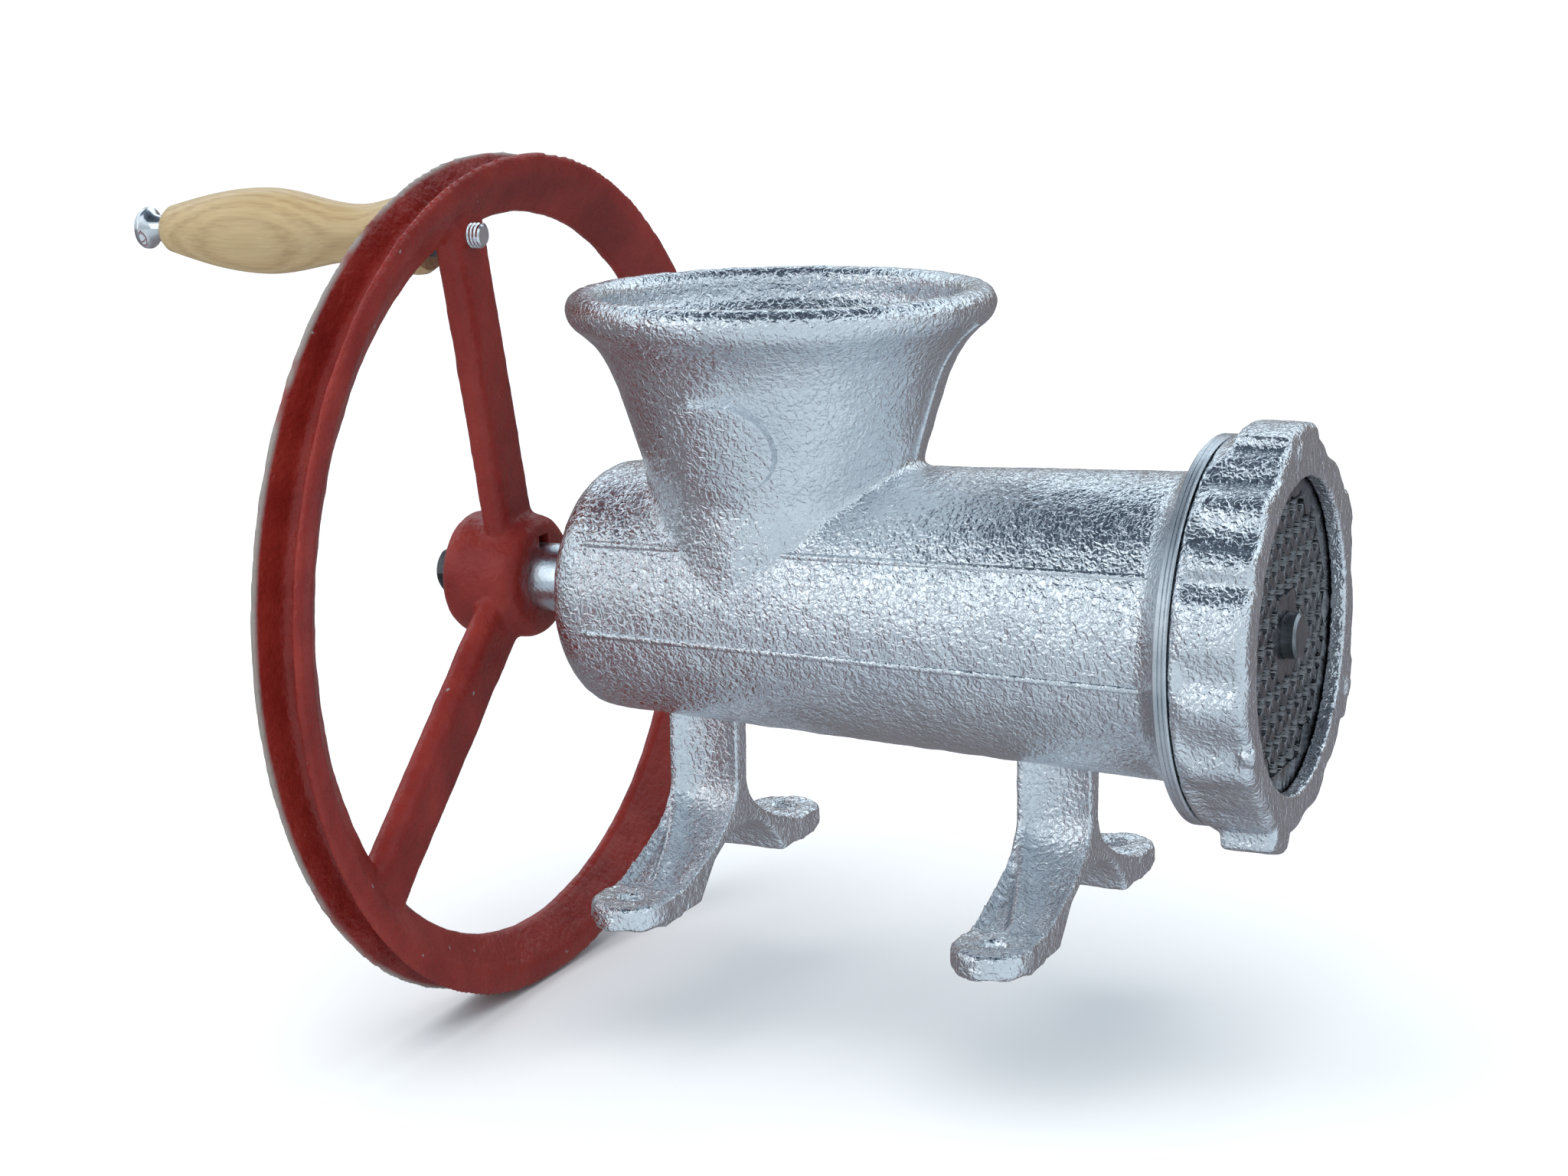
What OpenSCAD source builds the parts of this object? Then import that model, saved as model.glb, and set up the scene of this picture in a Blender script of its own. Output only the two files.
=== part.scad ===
// Hand crank meat grinder, size 32, driven by a V-belt wheel that carries the crank handle.
// The worm axis runs along X, the cutting end faces +X, and the hopper opens upward.
// The origin is the centre of the four foot holes, on the face that the feet stand on.

/* [Body casting] */
// Height of the worm axis above the bench face
axis_h = 93; // [86:1:112]
// Outer radius of the barrel where it leaves the rear dome
barrel_rear_r = 39.3; // [37:0.1:43]
// Outer radius of the barrel where it meets the threaded head
barrel_front_r = 45; // [43.5:0.1:47]
// Thickness of the barrel wall
barrel_wall = 5.5; // [4:0.1:6.5]
// Length of the barrel between the rear dome and the threaded head
barrel_len = 184; // [160:1:220]
// Distance from the foot hole centre forward to the threaded head
barrel_front_x = 100; // [80:1:120]
// Length of the rounded rear end
dome_len = 14; // [10:1:20]
// Outer radius of the bearing collar behind the dome
collar_r = 19.5; // [18:0.1:24]
// Length of the bearing collar
collar_len = 5; // [3:0.5:12]

/* [Hopper] */
// Distance from the foot hole centre back to the hopper axis
hopper_back = 30; // [22:1:40]
// Outer radius of the hopper throat
throat_r = 40.3; // [35:0.1:40.6]
// Thickness of the hopper wall
hopper_wall = 4.6; // [3.5:0.1:6]
// Height of the rim bead above the worm axis
rim_h = 91; // [80:1:110]
// Radius from the hopper axis to the centre of the rim bead
rim_r = 60.6; // [52:0.1:72]
// Radius of the rim bead's round section
bead_r = 5.2; // [4:0.1:7]

/* [Feet] */
// Distance between the front and rear foot holes
foot_pitch_x = 118; // [110:1:130]
// Distance between the left and right foot holes
foot_pitch_y = 108; // [96:1:130]
// Radius of a foot hole
foot_hole_r = 4.5; // [3:0.1:6]
// Radius of the round pad about a foot hole
pad_r = 12; // [10:0.5:16]
// Thickness of a foot pad
pad_t = 8; // [6:0.5:12]
// Thickness of the column between the barrel and the arch
column_w = 8.6; // [7:0.2:14]

/* [Cutting set] */
// Radius of the perforated plate
plate_r = 49.5; // [48.5:0.1:50]
// Thickness of the perforated plate
plate_t = 9; // [6:0.5:12]
// Radius of one hole in the plate
plate_hole_r = 2.9; // [1.5:0.1:3.2]
// Distance between neighbouring plate holes
plate_hole_pitch = 8.5; // [7.5:0.1:12]
// Thickness of the knife along the axis
knife_t = 12; // [10:0.5:16]
// Distance from the plate's edge in to the tips of the knife blades
knife_inset = 3.5; // [2:0.5:8]
// Side of the square that drives the knife
drive_square = 14; // [12:0.5:16]
// Radius of the round nose that runs in the plate
nose_r = 6.8; // [5.5:0.1:6.9]
// Length of the nose that stands out of the plate
nose_out = 4.4; // [2:0.1:8]

/* [Threaded head and ring nut] */
// Height of the plain flange above the threaded head
flange_h = 3.7; // [2.5:0.1:6]
// Width of the plain flange
flange_w = 3.2; // [2:0.1:6]
// Thickness of the threaded head's wall
head_wall = 3.5; // [3:0.1:5]
// Lead of the ring nut thread
thread_pitch = 4; // [3:0.5:5]
// Depth of the ring nut along the axis
nut_depth = 22.5; // [20:0.5:26]
// Thickness of the nut lip in front of the plate
lip_t = 5; // [4:0.5:8]
// Width of the nut lip over the plate
lip_w = 3.5; // [2.5:0.1:6]
// Thickness of the nut's skirt between its lugs
nut_wall = 3.4; // [3:0.1:6]
// Height of a lug above the nut body
lug_h = 5; // [3:0.1:8]

/* [Worm and shaft] */
// Radius of the tail shaft
shaft_r = 11; // [10:0.1:13]
// Radius of the worm's core at its rear end
core_rear_r = 14; // [13:0.5:18]
// Radius of the worm's core at its front end
core_front_r = 22; // [18:0.5:26]
// Lead of the worm flight, wound left-handed
flight_lead = 46; // [36:1:60]
// Thickness of the worm flight
flight_t = 6; // [4:0.5:9]
// Wall of the rear bearing bush
bush_wall = 3; // [2:0.1:4]

/* [Wheel] */
// Outer radius of the belt wheel
wheel_r = 135.5; // [115:0.5:160]
// Width of the wheel rim
rim_w = 17; // [15:0.5:24]
// Depth of the wheel rim from its outer edge in to its middle ridge
rim_depth = 18.9; // [16:0.1:24]
// Width of the belt groove at the outer edge
groove_w = 13; // [10:0.5:13.5]
// Depth of the belt groove
groove_d = 10; // [8:0.5:11]
// Distance from the bearing collar back to the middle of the rim
wheel_gap = 24; // [20:0.5:40]
// Outer radius of the hub
hub_r = 20; // [18:0.5:26]
// Length of the hub in front of the rim's middle
hub_front = 10.5; // [8.5:0.5:16]
// Length of the hub behind the rim's middle
hub_rear = 18; // [14:0.5:32]
// Width of a spoke
spoke_w = 21; // [18:0.5:26]
// Thickness of a spoke along the axis
spoke_t = 9.5; // [8:0.5:14]
// Angle of the spoke that carries the handle, from +Y towards +Z
handle_angle = 103; // [95:1:115]

/* [Crank handle] */
// Distance from the wheel's outer edge in to the handle axis
handle_inset = 20.5; // [17:0.5:40]
// Length of the wooden grip
grip_len = 99.5; // [80:0.5:140]
// Largest radius of the wooden grip
grip_belly_r = 13.7; // [12:0.1:18]
// Radius of the grip's narrow neck
grip_neck_r = 9; // [7:0.1:11]
// Radius of the grip's flared inner end
grip_flare_r = 12.7; // [10:0.1:16]
// Radius of the handle bolt
handle_bolt_r = 4; // [3:0.1:4.5]

/* [Clearances] */
// Radial clearance of a running shaft in its bore
run_gap = 0.05; // [0.03:0.01:0.1]
// Clearance between parts that slide or turn loosely on each other
loose_gap = 0.3; // [0.2:0.05:0.5]
// Gap between the worm flight and the barrel bore
flight_gap = 1.2; // [0.8:0.1:2]

/* [Hidden] */

$fn = 96;
eps = 0.01;
tin = "silver";
tin_steel = "gainsboro";
cut_steel = "dimgray";
zinc = "lightsteelblue";
red_oxide = "#8b2f24";
wood = "burlywood";
bronze = "#b08d57";

// Stations along the axis, from the rear of the casting to the face of the ring nut
barrel_rear_x = barrel_front_x - barrel_len;
dome_rear_x = barrel_rear_x - dome_len;
collar_rear_x = dome_rear_x - collar_len;
neck_len = 8;
flange_front_x = barrel_front_x + neck_len + flange_w;
nut_rear_x = flange_front_x + loose_gap;
nut_front_x = nut_rear_x + nut_depth;
face_gap = 0.1;
plate_front_x = nut_front_x - lip_t - face_gap;
plate_rear_x = plate_front_x - plate_t;
knife_r = plate_r - knife_inset;
head_front_x = plate_front_x - 2;
knife_front_x = plate_rear_x - face_gap;
worm_front_x = knife_front_x - knife_t;

// Bore of the casting
bore_rear_r = barrel_rear_r - barrel_wall;
bore_front_r = barrel_front_r - barrel_wall;
rear_wall = dome_len + 6;
bore_rear_x = dome_rear_x + rear_wall;
head_bore_r = plate_r + loose_gap;
head_r = head_bore_r + head_wall;
flange_r = head_r + flange_h;
lip_r = plate_r - lip_w;
nut_r = head_r + loose_gap + nut_wall;
plate_seat_x = plate_rear_x - 1.5;
chamber_r = knife_r + 1.5;
chamber_x = worm_front_x - 1;
bush_r = shaft_r + run_gap + bush_wall;
key_pin_r = 2.5;
head_chamfer = 0.6;
key_pin_x = plate_rear_x - 4;

// Thrust washer and worm
washer_t = 2.5;
washer_rear_x = bore_rear_x + loose_gap;
worm_rear_x = washer_rear_x + washer_t;
worm_len = worm_front_x - worm_rear_x;
flight_root_sink = 1;

// Wheel, hub and its screw
wheel_x = collar_rear_x - wheel_gap;
rim_in_r = wheel_r - rim_depth;
hub_front_x = wheel_x + hub_front;
hub_rear_x = wheel_x - hub_rear;
washer_seat_d = 0.5;
shaft_end_x = hub_rear_x + washer_seat_d + 0.6;
end_washer_r = shaft_r + 1.5;
end_washer_t = 1.6;
spring_washer_r = 7.4;
spring_washer_t = 2;
m8_r = 4;
m8_head_af = 13;
m8_head_h = 5.5;
end_washer_x = hub_rear_x + washer_seat_d;
wheel_bolt_len = 20;
key_w = 6;
key_h = 6;
key_len = hub_rear + hub_front - 10.5;
key_top = shaft_r + 2.8;

// Handle
crank_r = wheel_r - handle_inset;
handle_y = crank_r * cos(handle_angle);
handle_z = axis_h + crank_r * sin(handle_angle);
spoke_rear_x = wheel_x - spoke_t / 2;
spoke_front_x = wheel_x + spoke_t / 2;
lock_nut_t = 5.5;
lock_nut_x = spoke_rear_x - lock_nut_t;
grip_in_x = lock_nut_x - loose_gap;
grip_out_x = grip_in_x - grip_len;
grip_end_r = 7;
stud_out = 4;
head_disc_r = 6.7;
head_disc_t = 3.2;
head_taper = 6.5;

// Places a shape made along +Z onto the worm axis, growing towards +X from x
module on_axis(x) {
    translate([x, 0, axis_h]) rotate([0, 90, 0]) children();
}

// Turns a shape about the worm axis, with 0 degrees at +Y and 90 degrees at +Z
module about_axis(angle) {
    translate([0, 0, axis_h]) rotate([angle, 0, 0]) children();
}

// Outer radius of the barrel and radius of its bore at a station x
function barrel_r(x) = barrel_rear_r
    + (barrel_front_r - barrel_rear_r) * (x - barrel_rear_x) / barrel_len;
function bore_r(x) = barrel_r(x) - barrel_wall;

// Body casting: barrel, dome, head, hopper and two foot brackets in one piece
dome_steps = 10;
dome_profile = [for (i = [0 : dome_steps]) let (a = 90 * i / dome_steps)
    [collar_r + (barrel_rear_r - collar_r) * sin(a), dome_rear_x + dome_len * (1 - cos(a))]];

module barrel_solid() {
    on_axis(0) rotate_extrude() polygon(concat(
        [[0, collar_rear_x], [collar_r - 0.8, collar_rear_x], [collar_r, collar_rear_x + 0.8]],
        dome_profile,
        [[barrel_front_r, barrel_front_x], [flange_r, barrel_front_x + neck_len],
         [flange_r, flange_front_x], [head_r, flange_front_x],
         [head_r, head_front_x - head_chamfer], [head_r - head_chamfer, head_front_x],
         [0, head_front_x]]));
}

module barrel_bore() {
    on_axis(0) rotate_extrude() polygon([[0, bore_rear_x], [bore_r(bore_rear_x), bore_rear_x],
        [bore_r(chamber_x), chamber_x], [chamber_r, chamber_x],
        [chamber_r, plate_seat_x], [head_bore_r, plate_seat_x],
        [head_bore_r, head_front_x + eps], [0, head_front_x + eps]]);
    on_axis(collar_rear_x - eps) cylinder(r = bush_r, h = bore_rear_x - collar_rear_x + 2 * eps);
}

// The hopper widens as a cone above its throat and turns out sharply under the rim
cone_start_h = 34;
flare_end_h = rim_h - bead_r * 0.85;
flare_end_r = rim_r + bead_r * 0.78;
cone_share = 0.65;
lip_power = 8;
flare_steps = 12;
function hopper_r(u) = throat_r + (flare_end_r - throat_r) * (cone_share * u
    + (1 - cone_share) * pow(u, lip_power));
flare_profile = [for (i = [0 : flare_steps]) let (u = i / flare_steps)
    [hopper_r(u), cone_start_h + (flare_end_h - cone_start_h) * u]];
mouth_r = rim_r - bead_r * 0.9;
mouth_cone_share = 0.8;
flare_inside = [for (i = [flare_steps : -1 : 0]) let (u = i / flare_steps)
    [throat_r - hopper_wall + (mouth_r - throat_r + hopper_wall)
        * (mouth_cone_share * u + (1 - mouth_cone_share) * pow(u, lip_power)),
     flare_profile[i][1]]];
bead_profile = [for (a = [-30 : 15 : 210]) [rim_r + bead_r * cos(a), rim_h + bead_r * sin(a)]];

module hopper_solid(grow = 0) {
    translate([-hopper_back, 0, axis_h]) rotate_extrude() polygon(concat(
        [[0, 4], [throat_r + grow, 4]],
        [for (p = flare_profile) [p[0] + grow, p[1]]], bead_profile, [[0, rim_h]]));
}

module hopper_inside() {
    translate([-hopper_back, 0, axis_h]) rotate_extrude() polygon(concat(
        [[0, rim_h + 2 * bead_r], [mouth_r, rim_h + 2 * bead_r]],
        flare_inside, [[throat_r - hopper_wall, 8], [0, 8]]));
}

// Plain raised pad on the near side of the hopper
pad_mid_h = 53;
pad_w = 36;
pad_h = 26;
pad_raise = 1.2;
module hopper_badge() {
    intersection() {
        hopper_solid(pad_raise);
        translate([-hopper_back, 0, axis_h + pad_mid_h]) rotate([90, 0, 0])
            linear_extrude(height = rim_r + 10) union() {
                square([pad_w - pad_h, pad_h], center = true);
                for (s = [-1, 1]) translate([s * (pad_w - pad_h) / 2, 0]) circle(d = pad_h);
            }
    }
}

// Four thin raised lines that the mould leaves along the barrel
line_r = 1.1;
line_sink = 0.4;
line_angles = [150.4, 191.5, 29.6, 348.5];
module mould_lines() {
    taper = atan((barrel_front_r - barrel_rear_r) / barrel_len);
    for (angle = line_angles) about_axis(angle)
        translate([barrel_rear_x + 4, barrel_r(barrel_rear_x + 4) - line_sink, 0])
            rotate([0, 0, taper]) rotate([0, 90, 0])
                cylinder(r = line_r, h = barrel_len - 2, $fn = 24);
}

// A bracket stands on two pads and arches over the bench between them
arch_h = 17;
arch_span = foot_pitch_y - 49;
arch_r = (arch_span * arch_span / 4 + arch_h * arch_h) / (2 * arch_h);
leg_end_y = foot_pitch_y / 2 - 10;
leg_top_z = arch_h + 6;
pad_inset = 0.4;
scoop_r = 22;
scoop_d = 1.5;
half_bracket = [[0, axis_h - barrel_rear_r + 8], [column_w / 2, axis_h - barrel_rear_r + 8],
    [column_w / 2, leg_top_z + 9], [column_w / 2 + 1.2, leg_top_z + 4],
    [column_w / 2 + 3.6, leg_top_z + 0.8], [column_w / 2 + 8, leg_top_z - 2.4],
    [leg_end_y, pad_t], [leg_end_y, 0], [0, 0]];

module bracket(x) {
    translate([x, 0, 0]) difference() {
        union() {
            for (s = [0, 1]) mirror([0, s, 0])
                translate([-pad_r, 0, 0]) rotate([90, 0, 90])
                    linear_extrude(height = 2 * pad_r) polygon(half_bracket);
            for (s = [-1, 1]) {
                translate([0, s * foot_pitch_y / 2, 0]) cylinder(r = pad_r, h = pad_t);
                translate([-pad_r + pad_inset, s * (foot_pitch_y / 2 - 5) - 5.5, 0])
                    cube([2 * (pad_r - pad_inset), 11, pad_t]);
            }
        }
        translate([-pad_r - 1, 0, arch_h - arch_r]) rotate([0, 90, 0])
            cylinder(r = arch_r, h = 2 * pad_r + 2);
        for (s = [-1, 1]) translate([-1, s * (column_w / 2 + scoop_r - scoop_d), leg_top_z + 8])
            cylinder(r = scoop_r, h = axis_h);
        for (s = [-1, 1]) translate([0, s * foot_pitch_y / 2, -1])
            cylinder(r = foot_hole_r, h = pad_t + 2);
    }
}

module body_casting() {
    color(tin) difference() {
        union() {
            barrel_solid();
            hopper_solid();
            hopper_badge();
            mould_lines();
            for (s = [-1, 1]) bracket(s * foot_pitch_x / 2);
        }
        barrel_bore();
        hopper_inside();
        on_axis(key_pin_x) translate([head_bore_r, 0, 0])
            cylinder(r = key_pin_r, h = head_front_x - key_pin_x + eps);
    }
}

module rear_bushing() {
    color(bronze) on_axis(collar_rear_x) difference() {
        cylinder(r = bush_r, h = bore_rear_x - collar_rear_x);
        translate([0, 0, -1]) cylinder(r = shaft_r + run_gap, h = bore_rear_x - collar_rear_x + 2);
    }
}

module plate_key_pin() {
    color(cut_steel) on_axis(key_pin_x) translate([head_bore_r, 0, 0])
        cylinder(r = key_pin_r, h = head_front_x - key_pin_x - 0.5);
}

// Worm: a tapered core with one left-handed flight, and a tail shaft in the same casting
flight_turns = (worm_len - flight_t) / flight_lead;
flight_steps = ceil(flight_turns * 30);
function core_r(x) = core_rear_r
    + (core_front_r - core_rear_r) * (x - worm_rear_x) / worm_len;
function flight_ring(i) =
    let (x = worm_rear_x + flight_t / 2 + flight_lead * flight_turns * i / flight_steps,
         a = -360 * flight_turns * i / flight_steps,
         inner = core_r(x) - flight_root_sink, outer = bore_r(x) - flight_gap)
    [for (q = [[inner, -flight_t / 2], [inner, flight_t / 2],
               [outer, flight_t / 3], [outer, -flight_t / 3]])
        [x + q[1], q[0] * cos(a), q[0] * sin(a)]];
flight_points = [for (i = [0 : flight_steps]) each flight_ring(i)];
flight_sides = [for (i = [0 : flight_steps - 1], k = [0 : 3]) each
    let (p = 4 * i + k, q = 4 * i + (k + 1) % 4) [[p, p + 4, q], [q, p + 4, q + 4]]];
flight_last = 4 * flight_steps;

module worm() {
    color(tin_steel) difference() {
        union() {
            on_axis(worm_rear_x) cylinder(r1 = core_rear_r, r2 = core_front_r, h = worm_len);
            translate([0, 0, axis_h]) polyhedron(points = flight_points, faces = concat(
                [[3, 2, 1, 0]], flight_sides,
                [[flight_last, flight_last + 1, flight_last + 2, flight_last + 3]]));
            on_axis(shaft_end_x) cylinder(r = shaft_r, h = worm_rear_x - shaft_end_x + 1);
        }
        on_axis(worm_front_x - stud_seat_d) cylinder(r = stud_seat_r, h = stud_seat_d + 1);
        on_axis(shaft_end_x - 1) cylinder(r = m8_r, h = wheel_bolt_len + 3);
        translate([hub_key_x, -key_w / 2, axis_h + key_top - key_h])
            cube([key_len, key_w, key_h]);
    }
}

// Stud: screwed into the worm, square through the knife and round through the plate
stud_seat_r = 8;
stud_seat_d = 24;
hub_key_x = shaft_end_x + 2;
module worm_stud() {
    color(cut_steel) union() {
        on_axis(worm_front_x - stud_seat_d) cylinder(r = stud_seat_r, h = stud_seat_d);
        translate([worm_front_x, -drive_square / 2, axis_h - drive_square / 2])
            cube([knife_t, drive_square, drive_square]);
        on_axis(worm_front_x + knife_t) cylinder(r = nose_r,
            h = plate_front_x + nose_out - worm_front_x - knife_t - 0.8);
        on_axis(plate_front_x + nose_out - 0.8) cylinder(r1 = nose_r, r2 = nose_r - 0.8, h = 0.8);
    }
}

module thrust_washer() {
    color("saddlebrown") on_axis(washer_rear_x) difference() {
        cylinder(r = bush_r + 4, h = washer_t);
        translate([0, 0, -1]) cylinder(r = shaft_r + run_gap, h = washer_t + 2);
    }
}

// Knife: four blades whose cutting edges lie against the plate
knife_hub_r = 15;
blade_w = 13;
blade_t = 7;
module knife() {
    color(cut_steel) difference() {
        union() {
            on_axis(worm_front_x) cylinder(r = knife_hub_r, h = knife_t);
            for (a = [0 : 90 : 270]) about_axis(a + 20) intersection() {
                translate([knife_front_x - blade_t, 0, -blade_w / 2])
                    cube([blade_t, knife_r, blade_w]);
                translate([knife_front_x, 0, -blade_w / 2]) rotate([0, 38, 0])
                    translate([-3 * blade_t, 0, -blade_w]) cube([3 * blade_t, knife_r, 3 * blade_w]);
                rotate([0, 90, 0]) cylinder(r = knife_r, h = 2 * nut_front_x);
            }
        }
        translate([worm_front_x - 1, -drive_square / 2, axis_h - drive_square / 2])
            cube([knife_t + 2, drive_square, drive_square]);
    }
}

module shaft_key() {
    color(cut_steel) translate([hub_key_x, -key_w / 2, axis_h + key_top - key_h])
        cube([key_len, key_w, key_h]);
}

// Wheel: grooved rim, three spokes and a hub, with the keyway on top of the bore
rim_face_r = rim_in_r + (wheel_r - rim_in_r) * 0.62;
rim_edge = 1.5;
groove_floor_w = 6;
hub_round = 5;
spoke_round = spoke_t / 2;
module rim_profile() {
    polygon([[rim_in_r, -rim_edge], [rim_face_r, -rim_w / 2], [wheel_r, -rim_w / 2],
        [wheel_r, -groove_w / 2], [wheel_r - groove_d, -groove_floor_w / 2],
        [wheel_r - groove_d, groove_floor_w / 2], [wheel_r, groove_w / 2],
        [wheel_r, rim_w / 2], [rim_face_r, rim_w / 2], [rim_in_r, rim_edge]]);
}

module spoke() {
    translate([wheel_x, 0, 0]) rotate([-90, 0, 0]) linear_extrude(height = rim_in_r + 3) union() {
        square([spoke_t, spoke_w - spoke_t], center = true);
        for (s = [-1, 1]) translate([0, s * (spoke_w - spoke_t) / 2]) circle(r = spoke_round);
    }
}

hub_profile = concat([[0, hub_rear_x]],
    [for (a = [0 : 15 : 90]) [hub_r - hub_round * (1 - sin(a)), hub_rear_x + hub_round * (1 - cos(a))]],
    [for (a = [90 : -15 : 0]) [hub_r - hub_round * (1 - sin(a)), hub_front_x - hub_round * (1 - cos(a))]],
    [[0, hub_front_x]]);

module wheel() {
    color(red_oxide) difference() {
        union() {
            on_axis(wheel_x) rotate_extrude($fn = 180) rim_profile();
            for (a = [0, 120, 240]) about_axis(handle_angle + a) spoke();
            on_axis(0) rotate_extrude() polygon(hub_profile);
        }
        on_axis(hub_rear_x - 1) cylinder(r = shaft_r, h = hub_front_x - hub_rear_x + 2);
        on_axis(hub_rear_x - 1) cylinder(r = end_washer_r + loose_gap, h = washer_seat_d + 1);
        translate([hub_key_x, -key_w / 2, axis_h])
            cube([hub_front_x - hub_key_x + 1, key_w, key_top]);
        translate([0, handle_y, handle_z]) rotate([0, 90, 0]) translate([0, 0, wheel_x - spoke_t])
            cylinder(r = handle_bolt_r, h = 2 * spoke_t);
    }
}

module end_washer() {
    color(zinc) on_axis(end_washer_x - end_washer_t) difference() {
        cylinder(r = end_washer_r, h = end_washer_t);
        translate([0, 0, -1]) cylinder(r = m8_r, h = end_washer_t + 2);
    }
}

module spring_washer() {
    color(zinc) on_axis(end_washer_x - end_washer_t - spring_washer_t) difference() {
        cylinder(r = spring_washer_r, h = spring_washer_t);
        translate([0, 0, -1]) cylinder(r = m8_r, h = spring_washer_t + 2);
        rotate([0, 0, 60]) translate([0, -0.6, -1]) cube([spring_washer_r + 1, 1.2, spring_washer_t + 2]);
    }
}

module wheel_bolt() {
    seat_x = end_washer_x - end_washer_t - spring_washer_t;
    color(cut_steel) union() {
        on_axis(seat_x) cylinder(r = m8_r, h = wheel_bolt_len);
        on_axis(seat_x - m8_head_h) cylinder(d = m8_head_af / cos(30), h = m8_head_h, $fn = 6);
    }
}

// Places a revolved shape on the handle axis, with its profile given as radius and x
module on_handle() {
    translate([0, handle_y, handle_z]) rotate([0, 90, 0]) rotate_extrude() children();
}

module handle_bolt() {
    head_x = grip_out_x - loose_gap - head_taper - head_disc_t;
    color("lightgray") on_handle() polygon([[0, head_x], [head_disc_r - 1.5, head_x],
        [head_disc_r, head_x + 1.2], [head_disc_r, head_x + head_disc_t],
        [handle_bolt_r + 1, head_x + head_disc_t + 2],
        [handle_bolt_r, head_x + head_disc_t + head_taper],
        [handle_bolt_r, spoke_front_x + stud_out - 0.6],
        [handle_bolt_r - 0.6, spoke_front_x + stud_out], [0, spoke_front_x + stud_out]]);
}

module handle_lock_nut() {
    color(cut_steel) translate([lock_nut_x, handle_y, handle_z]) rotate([0, 90, 0]) difference() {
        cylinder(d = m8_head_af / cos(30), h = lock_nut_t, $fn = 6);
        translate([0, 0, -1]) cylinder(r = handle_bolt_r, h = lock_nut_t + 2);
    }
}

// Wooden grip: round outer end, full belly, narrow neck and flared inner end
belly_at = 0.395;
neck_at = 0.745;
flare_at = 0.965;
function ease(t) = (1 - cos(180 * t)) / 2;
function grip_r(s) = s < belly_at ? grip_end_r + (grip_belly_r - grip_end_r) * sin(90 * s / belly_at)
    : s < neck_at ? grip_belly_r + (grip_neck_r - grip_belly_r) * ease((s - belly_at) / (neck_at - belly_at))
    : s < flare_at ? grip_neck_r + (grip_flare_r - grip_neck_r) * ease((s - neck_at) / (flare_at - neck_at))
    : grip_flare_r - 1.2 * (s - flare_at) / (1 - flare_at);
grip_steps = 32;
grip_profile = [for (i = [0 : grip_steps]) let (s = i / grip_steps) [grip_r(s), grip_out_x + grip_len * s]];

module handle_grip() {
    color(wood) on_handle() polygon(concat([[handle_bolt_r + 2 * run_gap, grip_out_x]],
        grip_profile, [[handle_bolt_r + 2 * run_gap, grip_in_x]]));
}

// Plate: round holes on a triangular grid, plain about the nose and at the edge
grid_n = ceil(plate_r / plate_hole_pitch);
hole_inner = nose_r + 3 + plate_hole_r;
hole_outer = lip_r - 1.5 - plate_hole_r;
plate_holes = [for (i = [-2 * grid_n : 2 * grid_n], j = [-2 * grid_n : 2 * grid_n])
    let (y = plate_hole_pitch * (i + j / 2), z = plate_hole_pitch * j * sqrt(3) / 2, r = norm([y, z]))
    if (r > hole_inner && r < hole_outer) [y, z]];

module perforated_plate() {
    color(cut_steel) on_axis(plate_rear_x) difference() {
        cylinder(r = plate_r, h = plate_t);
        translate([0, 0, -1]) cylinder(r = nose_r + run_gap, h = plate_t + 2);
        for (p = plate_holes) translate([p[1], p[0], -1])
            cylinder(r = plate_hole_r, h = plate_t + 2, $fn = 24);
        translate([head_bore_r, 0, -1]) cylinder(r = key_pin_r + loose_gap, h = plate_t + 2);
    }
}

// Ring nut: scalloped grip with six lugs, threaded skirt and an inner lip over the plate
lug_angles = [30, 92, 150, 207, 252, 332];
lug_w = 17;
lug_start = 5;
scallop_r = 9;
scallop_d = 1.6;
scallop_angles = [10, 61, 120, 182, 229, 292, 312];
nut_bevel = 2;
module ring_nut() {
    skirt_r = head_r + loose_gap;
    color(tin) difference() {
        union() {
            difference() {
                on_axis(0) rotate_extrude() polygon([[0, nut_rear_x], [nut_r, nut_rear_x],
                    [nut_r, nut_front_x - nut_bevel], [nut_r - nut_bevel, nut_front_x],
                    [0, nut_front_x]]);
                for (angle = scallop_angles) about_axis(angle)
                    translate([nut_rear_x + lug_start, nut_r + scallop_r - scallop_d, 0])
                        rotate([0, 90, 0]) cylinder(r = scallop_r, h = nut_depth);
            }
            for (angle = lug_angles) about_axis(angle) intersection() {
                translate([nut_rear_x + lug_start, lip_r + 3, -lug_w / 2])
                    cube([nut_depth - lug_start - 1, nut_r + lug_h - lip_r - 3, lug_w]);
                rotate([0, 90, 0]) cylinder(r = nut_r + lug_h, h = 2 * nut_front_x);
            }
        }
        on_axis(nut_rear_x - 1) cylinder(r = skirt_r, h = nut_depth - lip_t + 1);
        on_axis(nut_rear_x) cylinder(r = lip_r, h = nut_depth + 1);
    }
}

body_casting();
rear_bushing();
plate_key_pin();
worm();
worm_stud();
thrust_washer();
knife();
shaft_key();
wheel();
end_washer();
spring_washer();
wheel_bolt();
handle_bolt();
handle_lock_nut();
handle_grip();
perforated_plate();
ring_nut();
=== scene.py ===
import math

import bpy
from mathutils import Matrix, Vector


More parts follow.
